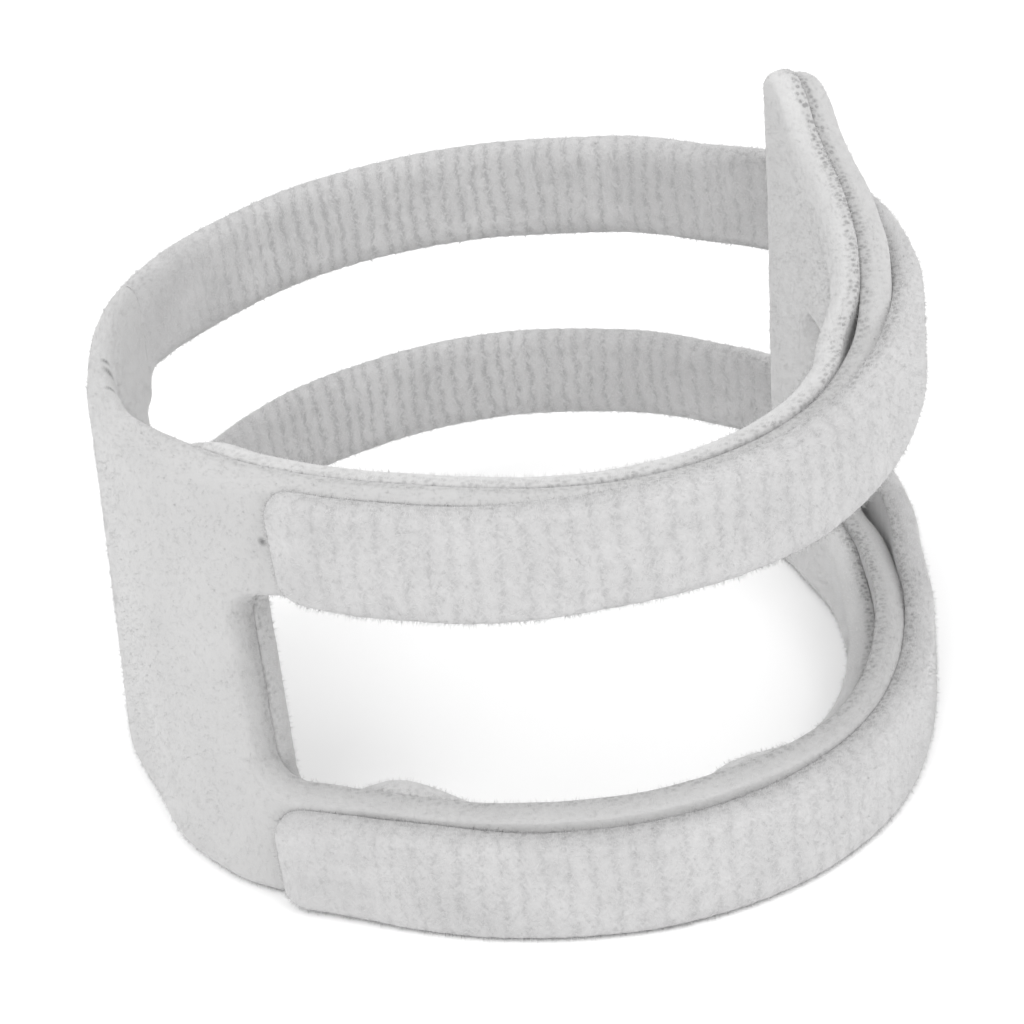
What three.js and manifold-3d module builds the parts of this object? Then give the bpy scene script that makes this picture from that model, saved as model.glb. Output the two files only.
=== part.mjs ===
// A soft wrist brace: a brushed, loop-faced strip wound nearly one and a half times round a wrist.
// It is drawn fastened and lying on its lower edge, with the wrist's axis upright.
// Angles are in degrees about that axis, from +X towards +Y, and the front faces -Y. Lengths are in mm.
import * as THREE from "three";
import Module from "manifold-3d";
import { mergeVertices } from "three/addons/utils/BufferGeometryUtils.js";

const wasm = await Module();
wasm.setup();

// Driving dimensions
const wristGirth = 193; // once round the inside of the fastened brace
const clothThickness = 2.1; // one layer of the padded laminate
const layerGap = 0.3; // air between two layers
const panelHeight = 37; // the wide panel on the left
const tabHeight = 48; // the free end at the back right, at its highest
const shellDrop = 0.6; // how much lower the shell's top edge runs than the lining's
const upperStrapWidth = 8.9;
const lowerStrapWidth = 8.6;
const windowCorner = 2.6; // corner radius of the front window
const strapCorner = 2; // corner radius of a strap's loose end
const edgeRound = 0.5; // rounding of every cut edge of the cloth
const hookThickness = 0.5; // hook tape under a strap's end
const hookWidth = 5.4;
const hookLength = 12;
const hookSetback = 5; // from the strap's end to the hook tape
const hookClearance = 2; // length of strap on each side of the tape that is lifted with it
const hookRamp = 2; // length over which the strap sinks back to its full thickness

// Where the pieces begin and end, in degrees
const liningEnd = -143; // inside the left panel
const shellEnd = -203; // past the left bend, where the two straps begin
const tabEdge = 30.5; // the free edge at the back right, at half its height
const tabSlant = 8; // how much further back the foot of that edge is than its top
const windowStart = -127.8;
const windowEnd = 12;
const upperStrapEnd = -118.5;
const lowerStrapEnd = -126;
const stationStep = 3; // between two cross-sections
const fullTurn = 360;

// The shape of the wrist hollow, seen from above, as waves on a circle: shares of its mean radius.
const hollow = [
  { waves: 1, cosine: 0.015, sine: 0.048 },
  { waves: 2, cosine: -0.064, sine: -0.036 },
  { waves: 3, cosine: -0.025, sine: 0.006 },
  { waves: 4, cosine: -0.01, sine: -0.003 },
  { waves: 5, cosine: 0.001, sine: 0.008 },
];

// How far the wall stands out of that shape at its head and at its foot: shares of the mean radius.
const lean = [
  { at: -360, head: 0.005, foot: -0.01 },
  { at: -350, head: 0, foot: -0.025 },
  { at: -340, head: 0, foot: -0.042 },
  { at: -330, head: 0, foot: -0.025 },
  { at: -315, head: 0, foot: 0 },
  { at: -245, head: 0, foot: 0 },
  { at: -220, head: 0, foot: 0.03 },
  { at: -203, head: 0, foot: 0.1 },
  { at: -185, head: 0.016, foot: 0.14 },
  { at: -176, head: 0.026, foot: 0.147 },
  { at: -165, head: 0.038, foot: 0.12 },
  { at: -155, head: 0.028, foot: 0.092 },
  { at: -145, head: 0.006, foot: 0.085 },
  { at: -135, head: 0, foot: 0.075 },
  { at: -127, head: 0, foot: 0.045 },
  { at: -119, head: 0, foot: 0 },
  { at: -110, head: 0, foot: -0.016 },
  { at: -95, head: 0, foot: 0 },
  { at: -77, head: 0, foot: 0.014 },
  { at: -50, head: 0, foot: 0 },
  { at: -30, head: 0.008, foot: -0.012 },
  { at: -15, head: 0.01, foot: -0.004 },
  { at: 0, head: 0.005, foot: -0.01 },
];

// Top edge of the lining and shell: a share of the panel's height, and of the tab's rise above it.
const topEdge = [
  { at: -203, level: 1, rise: 0 },
  { at: -180, level: 1, rise: 0 },
  { at: -135, level: 0.99, rise: 0 },
  { at: -105, level: 0.975, rise: 0 },
  { at: -70, level: 0.94, rise: 0 },
  { at: -50, level: 0.95, rise: 0 },
  { at: -35, level: 0.985, rise: 0 },
  { at: -20, level: 1, rise: 0.2 },
  { at: -5, level: 1, rise: 0.38 },
  { at: 10, level: 1, rise: 0.54 },
  { at: 17, level: 1, rise: 0.68 },
  { at: 22, level: 1, rise: 0.9 },
  { at: 26, level: 1, rise: 1 },
  { at: 34, level: 1, rise: 1 },
];

// Lower edge of the shell, a share of the panel's height: it lifts off the surface past the left bend.
const shellFoot = [
  { at: -203, lift: 0.17 },
  { at: -192, lift: 0.08 },
  { at: -178, lift: 0 },
  { at: 34, lift: 0 },
];

// Layers of cloth inside a piece: 0 lies next to the wrist, 1 and 2 lie over one and two layers.
const shellLayer = [
  { at: -203, layer: 0 },
  { at: -185, layer: 0 },
  { at: -165, layer: 0.35 },
  { at: -146, layer: 1 },
  { at: 34, layer: 1 },
];
const strapLayer = [
  { at: -203, layer: 0 },
  { at: -280, layer: 0 },
  { at: -305, layer: 0.9 },
  { at: -324, layer: 2 },
  { at: -486, layer: 2 },
];

// Top edge of the upper strap as a share of the panel's height, and its width as a share of its own.
const upperStrap = [
  { at: -203, top: 1.01, width: 1 },
  { at: -225, top: 1.02, width: 1.02 },
  { at: -245, top: 1.035, width: 1.02 },
  { at: -270, top: 1.04, width: 1.05 },
  { at: -295, top: 1.035, width: 1.07 },
  { at: -315, top: 1.015, width: 1.07 },
  { at: -335, top: 1.02, width: 1.04 },
  { at: -354, top: 1.03, width: 1.02 },
  { at: -370, top: 1.025, width: 0.97 },
  { at: -390, top: 1.015, width: 0.94 },
  { at: -405, top: 0.985, width: 0.94 },
  { at: -420, top: 0.96, width: 0.94 },
  { at: -435, top: 0.955, width: 0.93 },
  { at: -450, top: 0.96, width: 0.95 },
  { at: -465, top: 0.985, width: 0.95 },
  { at: -479, top: 1, width: 0.95 },
];

// Lower edge of the lower strap as a share of the panel's height, and its width as a share of its own.
const lowerStrap = [
  { at: -203, foot: 0.17, width: 1 },
  { at: -220, foot: 0.25, width: 1 },
  { at: -240, foot: 0.272, width: 1.03 },
  { at: -270, foot: 0.275, width: 1.04 },
  { at: -295, foot: 0.262, width: 1.02 },
  { at: -312, foot: 0.235, width: 1 },
  { at: -324, foot: 0.215, width: 1 },
  { at: -336, foot: 0.16, width: 1 },
  { at: -348, foot: 0.09, width: 1 },
  { at: -360, foot: 0.05, width: 1 },
  { at: -375, foot: 0.02, width: 1 },
  { at: -392, foot: 0, width: 0.98 },
  { at: -450, foot: 0, width: 0.98 },
  { at: -465, foot: 0, width: 1.04 },
  { at: -486, foot: 0, width: 1 },
];

// Lower edge of the front window in each layer, as a share of the lower strap's width.
const liningSill = [
  { at: -126, sill: 0.8 },
  { at: -110, sill: 1.11 },
  { at: -95, sill: 0.86 },
  { at: -75, sill: 0.82 },
  { at: -65, sill: 1 },
  { at: -50, sill: 0.78 },
  { at: -25, sill: 0.72 },
  { at: 12, sill: 1 },
];
const shellSill = [
  { at: -126, sill: 1.12 },
  { at: -100, sill: 1.1 },
  { at: -70, sill: 1.1 },
  { at: -45, sill: 1 },
  { at: 12, sill: 1.05 },
];
const windowHead = 0.772; // upper edge of the front window, a share of the panel's height

// Folds, as bumps of the cloth towards the wrist: a share of its thickness, within a spread about an
// angle, fading out below a share of the piece's height.
const liningFolds = [{ at: -32, spread: 13, inward: 0.52, lowest: 0.6 }];
const lowerStrapFolds = [{ at: -348, spread: 22, inward: -0.48, lowest: 0 }];
const foldFade = 0.3; // share of the piece's height on each side of lowest over which a fold fades

// Where the cross-sections of a round corner stand, as shares of its radius, and rows up the walls
const cornerSections = [1, 0.5, 0.2, 0.05, 0];
const cornerMargin = 1.3; // no plain section stands nearer to the end than this many radii
const liningRows = 5;
const shellRows = 2;

// How far the block that cuts the window reaches past the wall on each side, in cloth thicknesses
const windowReach = { inside: 2, outside: 4 };

// Sizes that follow from the driving dimensions
const radiansPerDegree = Math.PI / 180;
const meanRadius = wristGirth / (2 * Math.PI);
const layerPitch = clothThickness + layerGap;
const degreesPerMm = 1 / (meanRadius * radiansPerDegree);
const strapStart = shellEnd - layerGap * degreesPerMm;

// A value between the rows of a table, on a smooth curve that never passes beyond the rows.
function along(table, column, angle) {
  const rows = [...table].sort((a, b) => a.at - b.at);
  const last = rows.length - 1;
  if (angle <= rows[0].at) return rows[0][column];
  if (angle >= rows[last].at) return rows[last][column];
  const i = rows.findIndex((row) => row.at > angle) - 1;
  const slope = (k) => (rows[k + 1][column] - rows[k][column]) / (rows[k + 1].at - rows[k].at);
  const tangent = (k) => {
    if (k === 0 || k === last) return 0;
    const before = slope(k - 1);
    const after = slope(k);
    return before * after <= 0 ? 0 : (2 * before * after) / (before + after);
  };
  const span = rows[i + 1].at - rows[i].at;
  const t = (angle - rows[i].at) / span;
  const from = rows[i][column] * (1 + 2 * t) * (1 - t) ** 2 + tangent(i) * span * t * (1 - t) ** 2;
  const to = rows[i + 1][column] * t * t * (3 - 2 * t) - tangent(i + 1) * span * t * t * (1 - t);
  return from + to;
}

// The inner radius of the wall at an angle and a height.
function wallRadius(angle, height) {
  const turn = angle * radiansPerDegree;
  let share = 1;
  for (const { waves, cosine, sine } of hollow) {
    share += cosine * Math.cos(waves * turn) + sine * Math.sin(waves * turn);
  }
  const within = angle - fullTurn * Math.ceil(angle / fullTurn);
  const low = THREE.MathUtils.clamp(1 - height / panelHeight, 0, 1);
  share += along(lean, "head", within) * (1 - low) + along(lean, "foot", within) * low;
  return meanRadius * share;
}

// How far the folds in a table push the cloth towards the wrist.
function foldDepth(folds, angle, heightShare) {
  let depth = 0;
  for (const { at, spread, inward, lowest } of folds) {
    const away = Math.min(1, Math.abs(angle - at) / spread);
    const fade = THREE.MathUtils.smoothstep(heightShare, lowest - foldFade, lowest + foldFade);
    depth += clothThickness * inward * fade * Math.cos((away * Math.PI) / 2) ** 2;
  }
  return depth;
}

// The angles of the cross-sections, from a piece's start to its end, closer together at a round corner.
function stations(start, end, corner = 0) {
  const count = Math.ceil(Math.abs(end - start) / stationStep);
  const angles = [];
  for (let i = 0; i <= count; i++) angles.push(start + ((end - start) * i) / count);
  if (corner === 0) return angles;
  const back = Math.sign(start - end) * corner * degreesPerMm;
  const plain = angles.filter((angle) => Math.abs(angle - end) > Math.abs(back) * cornerMargin);
  return [...plain, ...cornerSections.map((share) => end + back * share)];
}

// How much a round corner takes off the top and bottom of a section at a distance from the end.
function cornerCut(angle, end, corner) {
  const left = corner - Math.abs(angle - end) / degreesPerMm;
  return left <= 0 ? 0 : corner - Math.sqrt(Math.max(0, corner ** 2 - left ** 2));
}

// The outline of the cloth's cross-section, once round: up its inner face and down its outer face.
function sectionOutline(rows) {
  const inner = [{ up: 0, lift: 0, inset: 1 }, { up: 0, lift: 1, inset: 0 }];
  for (let i = 1; i <= rows; i++) inner.push({ up: i / (rows + 1), lift: 0, inset: 0 });
  inner.push({ up: 1, lift: -1, inset: 0 }, { up: 1, lift: 0, inset: 1 });
  const outer = [...inner].reverse();
  return [
    ...inner.map((point) => ({ ...point, deep: 0 })),
    ...outer.map((point) => ({ ...point, inset: -point.inset, deep: 1 })),
  ];
}

// A closed strip of cloth through its cross-sections. foot and head give its two edges at an angle,
// inner and outer its two faces' distances from the wall, and slant moves a point along the wall.
function clothStrip({ angles, foot, head, inner, outer, rows = 0, round = edgeRound, slant }) {
  const outline = sectionOutline(rows);
  const positions = [];
  for (const angle of angles) {
    const low = foot(angle);
    const high = head(angle);
    for (const { up, lift, inset, deep } of outline) {
      const height = low + up * (high - low) + lift * round;
      const share = (height - low) / (high - low);
      const depth = (deep ? outer(angle, share) : inner(angle, share)) + inset * round;
      const place = slant ? slant(angle, height) : angle;
      const radius = wallRadius(place, height) + depth;
      const turn = place * radiansPerDegree;
      positions.push(radius * Math.cos(turn), radius * Math.sin(turn), height);
    }
  }
  const size = outline.length;
  const indices = [];
  for (let i = 0; i + 1 < angles.length; i++) {
    for (let k = 0; k < size; k++) {
      const a = i * size + k;
      const b = i * size + ((k + 1) % size);
      indices.push(a, b, a + size, b, b + size, a + size);
    }
  }
  const lastSection = (angles.length - 1) * size;
  for (let k = 0; k + 1 < size / 2; k++) {
    const across = size - 1 - k;
    indices.push(k, across, k + 1, across, across - 1, k + 1);
    const a = lastSection + k;
    const b = lastSection + across;
    indices.push(a, a + 1, b, b, a + 1, b - 1);
  }
  if (angles[angles.length - 1] < angles[0]) indices.reverse();
  const geometry = new THREE.BufferGeometry();
  geometry.setAttribute("position", new THREE.Float32BufferAttribute(positions, 3));
  geometry.setIndex(indices);
  return geometry;
}

// Joins and cuts: a closed geometry as a solid, and back.
function solidOf(geometry) {
  const merged = mergeVertices(geometry.clone());
  return new wasm.Manifold(
    new wasm.Mesh({
      numProp: 3,
      vertProperties: new Float32Array(merged.attributes.position.array),
      triVerts: new Uint32Array(merged.index.array),
    }),
  );
}

function geometryOf(solid) {
  const mesh = solid.getMesh();
  const geometry = new THREE.BufferGeometry();
  geometry.setAttribute("position", new THREE.BufferAttribute(mesh.vertProperties, 3));
  geometry.setIndex(new THREE.BufferAttribute(mesh.triVerts, 1));
  return geometry;
}

// The front window as a curved block that passes right through one layer of cloth.
function windowBlock(sills) {
  const corner = windowCorner;
  const middle = (windowStart + windowEnd) / 2;
  const cut = (angle) => cornerCut(angle, angle < middle ? windowStart : windowEnd, corner);
  const half = stations(middle, windowStart, corner);
  const otherHalf = stations(middle, windowEnd, corner);
  return clothStrip({
    angles: [...half.reverse(), ...otherHalf.slice(1)],
    foot: (angle) => lowerStrapWidth * along(sills, "sill", angle) + cut(angle),
    head: (angle) => panelHeight * windowHead - cut(angle),
    inner: () => -windowReach.inside * clothThickness,
    outer: () => windowReach.outside * clothThickness,
    round: 0,
  });
}

const topHeight = (angle) =>
  panelHeight * along(topEdge, "level", angle) + (tabHeight - panelHeight) * along(topEdge, "rise", angle);

// The free edge of the tab leans: its foot is further back than its top, and that dies out along the cloth.
function tabLean(angle, height) {
  const share = THREE.MathUtils.smoothstep(angle, windowStart, tabEdge);
  return angle + tabSlant * share * (0.5 - height / tabHeight);
}

// The lining lies next to the wrist, from inside the left panel to the tab.
function makeLining() {
  const depth = (angle, share) => -foldDepth(liningFolds, angle, share);
  const band = clothStrip({
    angles: stations(liningEnd, tabEdge),
    foot: () => 0,
    head: topHeight,
    inner: depth,
    outer: (angle, share) => depth(angle, share) + clothThickness,
    rows: liningRows,
    slant: tabLean,
  });
  return geometryOf(solidOf(band).subtract(solidOf(windowBlock(liningSill))));
}

// The shell covers the lining, makes the left panel's outer face and turns the left bend by itself.
function makeShell() {
  const depth = (angle) => layerPitch * along(shellLayer, "layer", angle);
  const band = clothStrip({
    angles: stations(shellEnd, tabEdge),
    foot: (angle) => panelHeight * along(shellFoot, "lift", angle),
    head: (angle) => topHeight(angle) - shellDrop * THREE.MathUtils.smoothstep(angle, windowStart, 0),
    inner: depth,
    outer: (angle) => depth(angle) + clothThickness,
    rows: shellRows,
    slant: tabLean,
  });
  return geometryOf(solidOf(band).subtract(solidOf(windowBlock(shellSill))));
}

// How far the hook tape lifts a strap's inner face, at an angle near the strap's end.
function hookLift(angle, end) {
  const distance = Math.abs(angle - end) / degreesPerMm;
  const start = hookSetback - hookClearance;
  const finish = hookSetback + hookLength + hookClearance;
  const ramps = THREE.MathUtils.smoothstep(distance, start - hookRamp, start);
  const sinks = 1 - THREE.MathUtils.smoothstep(distance, finish, finish + hookRamp);
  return (hookThickness + layerGap) * ramps * sinks;
}

// A strap starts at the shell's end, goes round the back and outside the tab, and ends on the panel.
function makeStrap({ end, foot, head, folds }) {
  const depth = (angle) => layerPitch * along(strapLayer, "layer", angle) - foldDepth(folds, angle, 1);
  return clothStrip({
    angles: stations(strapStart, end, strapCorner),
    foot: (angle) => foot(angle) + cornerCut(angle, end, strapCorner),
    head: (angle) => head(angle) - cornerCut(angle, end, strapCorner),
    inner: (angle) => depth(angle) + hookLift(angle, end),
    outer: (angle) => depth(angle) + clothThickness,
  });
}

// The hook tape that holds a strap's end on the shell, hidden between the two.
function makeHookPatch({ end, foot, head }) {
  const first = end + hookSetback * degreesPerMm;
  const middle = (angle) => (foot(angle) + head(angle)) / 2;
  const inner = (angle) => layerPitch * along(strapLayer, "layer", angle);
  return clothStrip({
    angles: stations(first + hookLength * degreesPerMm, first),
    foot: (angle) => middle(angle) - hookWidth / 2,
    head: (angle) => middle(angle) + hookWidth / 2,
    inner,
    outer: (angle) => inner(angle) + hookThickness,
    round: 0,
  });
}

const upperTop = (angle) => panelHeight * along(upperStrap, "top", angle);
const lowerFoot = (angle) => panelHeight * along(lowerStrap, "foot", angle);
const upper = {
  end: upperStrapEnd - fullTurn,
  foot: (angle) => upperTop(angle) - upperStrapWidth * along(upperStrap, "width", angle),
  head: upperTop,
  folds: [],
};
const lower = {
  end: lowerStrapEnd - fullTurn,
  foot: lowerFoot,
  head: (angle) => lowerFoot(angle) + lowerStrapWidth * along(lowerStrap, "width", angle),
  folds: lowerStrapFolds,
};

// Materials: brushed cloth in a warm light grey, a shade cooler where the nap is longer, and nylon tape.
const cloth = (colour) => new THREE.MeshStandardMaterial({ color: colour, roughness: 0.95, metalness: 0 });
const tape = () => new THREE.MeshStandardMaterial({ color: 0xc9c9c7, roughness: 0.7, metalness: 0 });

const brace = new THREE.Group();
function add(name, geometry, material) {
  const mesh = new THREE.Mesh(geometry, material);
  mesh.name = name;
  brace.add(mesh);
}

add("lining", makeLining(), cloth(0xd3d1d0));
add("shell", makeShell(), cloth(0xd6d4d3));
add("upper_strap", makeStrap(upper), cloth(0xd2d1d1));
add("lower_strap", makeStrap(lower), cloth(0xd2d1d1));
add("upper_hook_patch", makeHookPatch(upper), tape());
add("lower_hook_patch", makeHookPatch(lower), tape());

// The origin is under the middle of the brace, on the surface that it lies on.
const box = new THREE.Box3().setFromObject(brace);
const middle = box.getCenter(new THREE.Vector3());
brace.position.set(-middle.x, -middle.y, -box.min.z);

export default brace;
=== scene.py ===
"""A soft wrist brace of brushed cloth, drawn fastened and lying on its lower edge. In metres, +Z up."""

import bmesh
import bpy
import numpy as np
from mathutils import Matrix


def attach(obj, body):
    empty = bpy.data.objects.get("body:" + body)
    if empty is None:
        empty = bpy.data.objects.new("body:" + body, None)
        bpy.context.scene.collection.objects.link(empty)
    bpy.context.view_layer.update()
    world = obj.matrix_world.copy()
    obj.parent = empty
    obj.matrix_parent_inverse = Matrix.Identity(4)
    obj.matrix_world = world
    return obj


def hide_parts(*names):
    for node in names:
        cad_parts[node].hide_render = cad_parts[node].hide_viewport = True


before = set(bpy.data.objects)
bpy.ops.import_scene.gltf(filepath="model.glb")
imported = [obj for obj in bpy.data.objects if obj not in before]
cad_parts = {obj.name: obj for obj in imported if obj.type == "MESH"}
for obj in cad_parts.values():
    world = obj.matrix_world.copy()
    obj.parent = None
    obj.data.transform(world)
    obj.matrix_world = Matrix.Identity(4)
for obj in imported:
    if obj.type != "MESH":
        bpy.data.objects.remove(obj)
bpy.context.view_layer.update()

# The lining: the layer next to the wrist, die cut from a soft foam laminate with brushed cloth on both
# faces. It runs from inside the left panel, under the front window, to the raised tab at the back right.
# Angles are in degrees about the wrist's axis, from +X towards +Y, and lengths in mm.
wrist_girth = 193.0
cloth_thickness = 2.1
layer_gap = 0.3
panel_height = 37.0
tab_height = 48.0
origin_from_axis = (-0.079, 1.196)

mean_radius = wrist_girth / (2 * np.pi)
layer_pitch = cloth_thickness + layer_gap
per_mm = 180 / (np.pi * mean_radius)

# The wrist hollow from above: waves round the circle, cosine share, sine share
hollow = [(1, 0.015, 0.048), (2, -0.064, -0.036), (3, -0.025, 0.006), (4, -0.01, -0.003), (5, 0.001, 0.008)]

# How far the wall stands out of it: angle, share at the head, share at the foot
lean = [
    (-360, 0.005, -0.01), (-350, 0, -0.025), (-340, 0, -0.042), (-330, 0, -0.025), (-315, 0, 0),
    (-245, 0, 0), (-220, 0, 0.03), (-203, 0, 0.1), (-185, 0.016, 0.14), (-176, 0.026, 0.147),
    (-165, 0.038, 0.12), (-155, 0.028, 0.092), (-145, 0.006, 0.085), (-135, 0, 0.075), (-127, 0, 0.045),
    (-119, 0, 0), (-110, 0, -0.016), (-95, 0, 0), (-77, 0, 0.014), (-50, 0, 0), (-30, 0.008, -0.012),
    (-15, 0.01, -0.004), (0, 0.005, -0.01),
]

# Top edge of lining and shell: angle, share of the panel's height, share of the tab's rise above it
top_edge = [
    (-203, 1, 0), (-180, 1, 0), (-135, 0.99, 0), (-105, 0.975, 0), (-70, 0.94, 0), (-50, 0.95, 0),
    (-35, 0.985, 0), (-20, 1, 0.2), (-5, 1, 0.38), (10, 1, 0.54), (17, 1, 0.68), (22, 1, 0.9),
    (26, 1, 1), (34, 1, 1),
]

lining_end, tab_edge, tab_slant = -143.0, 30.5, 8.0
window_start, window_end, window_corner = -127.8, 12.0, 2.6
# Upper edge of the window: angle, share of the panel's height. It sinks at its left end.
window_head = [(-127.8, 0.71), (-120, 0.722), (-114, 0.735), (-106, 0.772), (12, 0.772)]
lower_strap_width = 8.6
# Lower edge of the window in the lining: angle, share of the lower strap's width
lining_sill = [(-126, 0.8), (-110, 1.11), (-95, 0.86), (-75, 0.82), (-65, 1), (-50, 0.78), (-25, 0.72), (12, 1)]
fold_at, fold_spread, fold_share, fold_lowest, fold_fade = -32.0, 9.0, 0.3, 0.65, 0.22

# The nap fills most of the room between two layers, and stands in fine ribs where the cloth is ribbed
plush = 0.148
window_rounding = 1.0
widest_rounding = 9.0  # a limit that no other rounding reaches
outer_corner = 1.5
rib_pitch = 1.36
rib_relief = 0.13
rib_middle = 0.62  # share of a rib's rise that lies at the cloth's own level
lump_height = 0.02
edge_reach = 1.2  # how far in from a cut edge the nap of the edge thins out
# At the lining's end inside the left panel: skived by mm over degrees, and its top edge sinks by mm
skived_by, skived_over, end_sink = 1.5, 14, 1.2
# Painted shade in the crease where two layers meet, on their cut edges: full up to the first distance in mm
# and none past the second, from the joint between two layers and from the cut edge, and a faint darkening
# all along the edge
joint_shade_band, joint_shade_reach, joint_shade_trace = (0.5, 1.15), (0.3, 1.1), 0.08
# Its cut edge: angle, rounding on the outer and on the inner face in mm, where the two faces meet, from -1
# inside to 1 outside, and how strongly the painted shade shows where it meets the next layer
lining_edge = [
    (-143, 0.15, 1.4, 0.3, 0.3), (-60, 0.15, 1.4, 0.3, 0.5), (-15, 0.15, 2, 0.5, 0.9), (3, 0.15, 2.4, 0.6, 1),
    (18, 0.15, 2, 0.5, 1), (26, 0.15, 1, 0.2, 0.9), (34, 0.15, 0.9, 0, 0.6),
]
lining_pale, lining_deep = (0.55, 0.548, 0.547), (0.485, 0.483, 0.483)
# Colour of the painted shade where two layers meet
joint_shade_dark = (0.24, 0.238, 0.238)
# Fibres are rooted this deep in mm, and are these shares of their length at the shortest and the longest
fibre_root = 0.06
fibre_lengths = (0.45, 1.3)
# Fibres: where they grow, strands, length and radius in mm, least and greatest lean from upright in degrees
lining_fibres = [("edge", 17000, 0.4, 0.018, 10, 75), ("face", 18000, 0.44, 0.016, 30, 84)]


def smoothstep(x, low, high):
    """0 below low, 1 above high, and 3t^2 - 2t^3 between them."""
    t = np.clip((x - low) / (high - low), 0, 1)
    return t * t * (3 - 2 * t)


def along(table, column, angle):
    """A table's column at each angle, on cubic pieces between its rows. The slope at a row is the
    harmonic mean of the slopes beside it, and 0 at a peak or an end, so nothing overshoots."""
    rows = np.array(sorted(table), float)
    x, y = rows[:, 0], rows[:, column]
    step = np.diff(y) / np.diff(x)
    before, after = step[:-1], step[1:]
    same = before * after > 0
    slope = np.zeros(len(x))
    slope[1:-1] = np.where(same, 2 * before * after / np.where(same, before + after, 1), 0)
    angle = np.clip(angle, x[0], x[-1])
    i = np.clip(np.searchsorted(x, angle, side="right") - 1, 0, len(x) - 2)
    span = x[i + 1] - x[i]
    t = (angle - x[i]) / span
    start = y[i] * (1 + 2 * t) * (1 - t) ** 2 + slope[i] * span * t * (1 - t) ** 2
    return start + y[i + 1] * t * t * (3 - 2 * t) - slope[i + 1] * span * t * t * (1 - t)


def wall_radius(angle, height):
    """Mean radius times 1, plus the waves of the hollow, plus the lean at the head and foot, mixed by height."""
    turn = np.radians(angle)
    share = 1 + sum(c * np.cos(k * turn) + s * np.sin(k * turn) for k, c, s in hollow)
    within = angle - 360 * np.ceil(angle / 360)
    low = np.clip(1 - height / panel_height, 0, 1)
    return mean_radius * (share + along(lean, 1, within) * (1 - low) + along(lean, 2, within) * low)


def top_height(angle):
    """Panel's height times its level, plus the tab's rise times its share."""
    level, rise = along(top_edge, 1, angle), along(top_edge, 2, angle)
    return panel_height * level + (tab_height - panel_height) * rise


def tab_lean(angle, height):
    """The free edge leans: the angle grows towards the foot, by a share that dies out along the cloth."""
    return angle + tab_slant * smoothstep(angle, window_start, tab_edge) * (0.5 - height / tab_height)


def corner_steps(run, radius, count):
    """Steps along a straight run and then a quarter circle: distance gone along the side, and risen from it."""
    reach = np.linspace(0, run + radius * np.pi / 2, count + 2)[1:-1]
    turn = np.maximum(reach - run, 0) / max(radius, 1e-9)
    return np.minimum(reach, run) + radius * np.sin(turn), radius * (1 - np.cos(turn))


def rounded_loop(left, right, low, high, corners, counts):
    """Once round a panel, anticlockwise: its sides and its corners, as angles and heights. The lower and
    upper side are as long as the window's, and each corner takes the run that is left and a quarter circle.
    corners are the radii at its left and right, and counts the steps along, up and round a corner."""
    along_count, up_count, corner_count = counts
    start, end = window_start + window_corner * per_mm, window_end - window_corner * per_mm
    at_left, at_right = corners
    span, rise = np.linspace(start, end, along_count), np.linspace(0, 1, up_count)
    gone, risen = corner_steps((right - end) / per_mm - at_right, at_right, corner_count)
    to_right = end + gone * per_mm
    back, fallen = corner_steps((start - left) / per_mm - at_left, at_left, corner_count)
    to_left = start - back * per_mm

    def side(at, corner):
        foot, head = low(at) + corner, high(at) - corner
        return foot + rise * (head - foot)

    angle = [span, to_right, np.full(up_count, right), to_right[::-1], span[::-1], to_left,
             np.full(up_count, left), to_left[::-1]]
    height = [low(span), low(to_right) + risen, side(right, at_right), (high(to_right) - risen)[::-1],
              high(span)[::-1], high(to_left) - fallen, side(left, at_left)[::-1], (low(to_left) + fallen)[::-1]]
    return np.concatenate(angle), np.concatenate(height)


def rows_between(start, end, rounding, middle_rows, first_limit=widest_rounding):
    """Rows from one cut edge to the other: close together over each rounding, as a quarter circle's steps,
    and even between them."""
    (a0, h0), (a1, h1) = start, end
    length = np.hypot((a1 - a0) / per_mm, h1 - h0)[:, None]
    first, last = (np.maximum(along(rounding, 1, a), along(rounding, 2, a))[:, None] / length for a in (a0, a1))
    first = np.minimum(first, first_limit / length)
    arc = 1 - np.cos(np.linspace(0, np.pi / 2, 7))[:-1]
    even = np.linspace(0, 1, middle_rows)
    share = np.concatenate([first * arc, first + even * (1 - first - last), 1 - last * arc[::-1]], axis=1)
    return a0[:, None] + share * (a1 - a0)[:, None], h0[:, None] + share * (h1 - h0)[:, None]


def from_window(angle, height, sill):
    """Distance from the window's edge, as from a box with round corners."""
    beside = np.maximum(window_start - angle, angle - window_end) / per_mm + window_corner
    head = panel_height * along(window_head, 1, angle)
    above = np.maximum(lower_strap_width * along(sill, 1, angle) - height, height - head) + window_corner
    out = np.hypot(np.maximum(beside, 0), np.maximum(above, 0)) + np.minimum(np.maximum(beside, above), 0)
    return out - window_corner


def from_outline(angle, height, left, right, low, high, corner):
    """Distance inwards from a panel's edge with round corners. A side given as None is open."""
    beside = np.full(angle.shape, 1e3)
    if right is not None:
        beside = np.minimum(beside, (right - angle) / per_mm)
    if left is not None:
        beside = np.minimum(beside, (angle - left) / per_mm)
    above = np.minimum(high(angle) - height, height - low(angle))
    round_it = corner - np.hypot(np.maximum(corner - beside, 0), np.maximum(corner - above, 0))
    return np.where((beside < corner) & (above < corner), round_it, np.minimum(beside, above))


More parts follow.
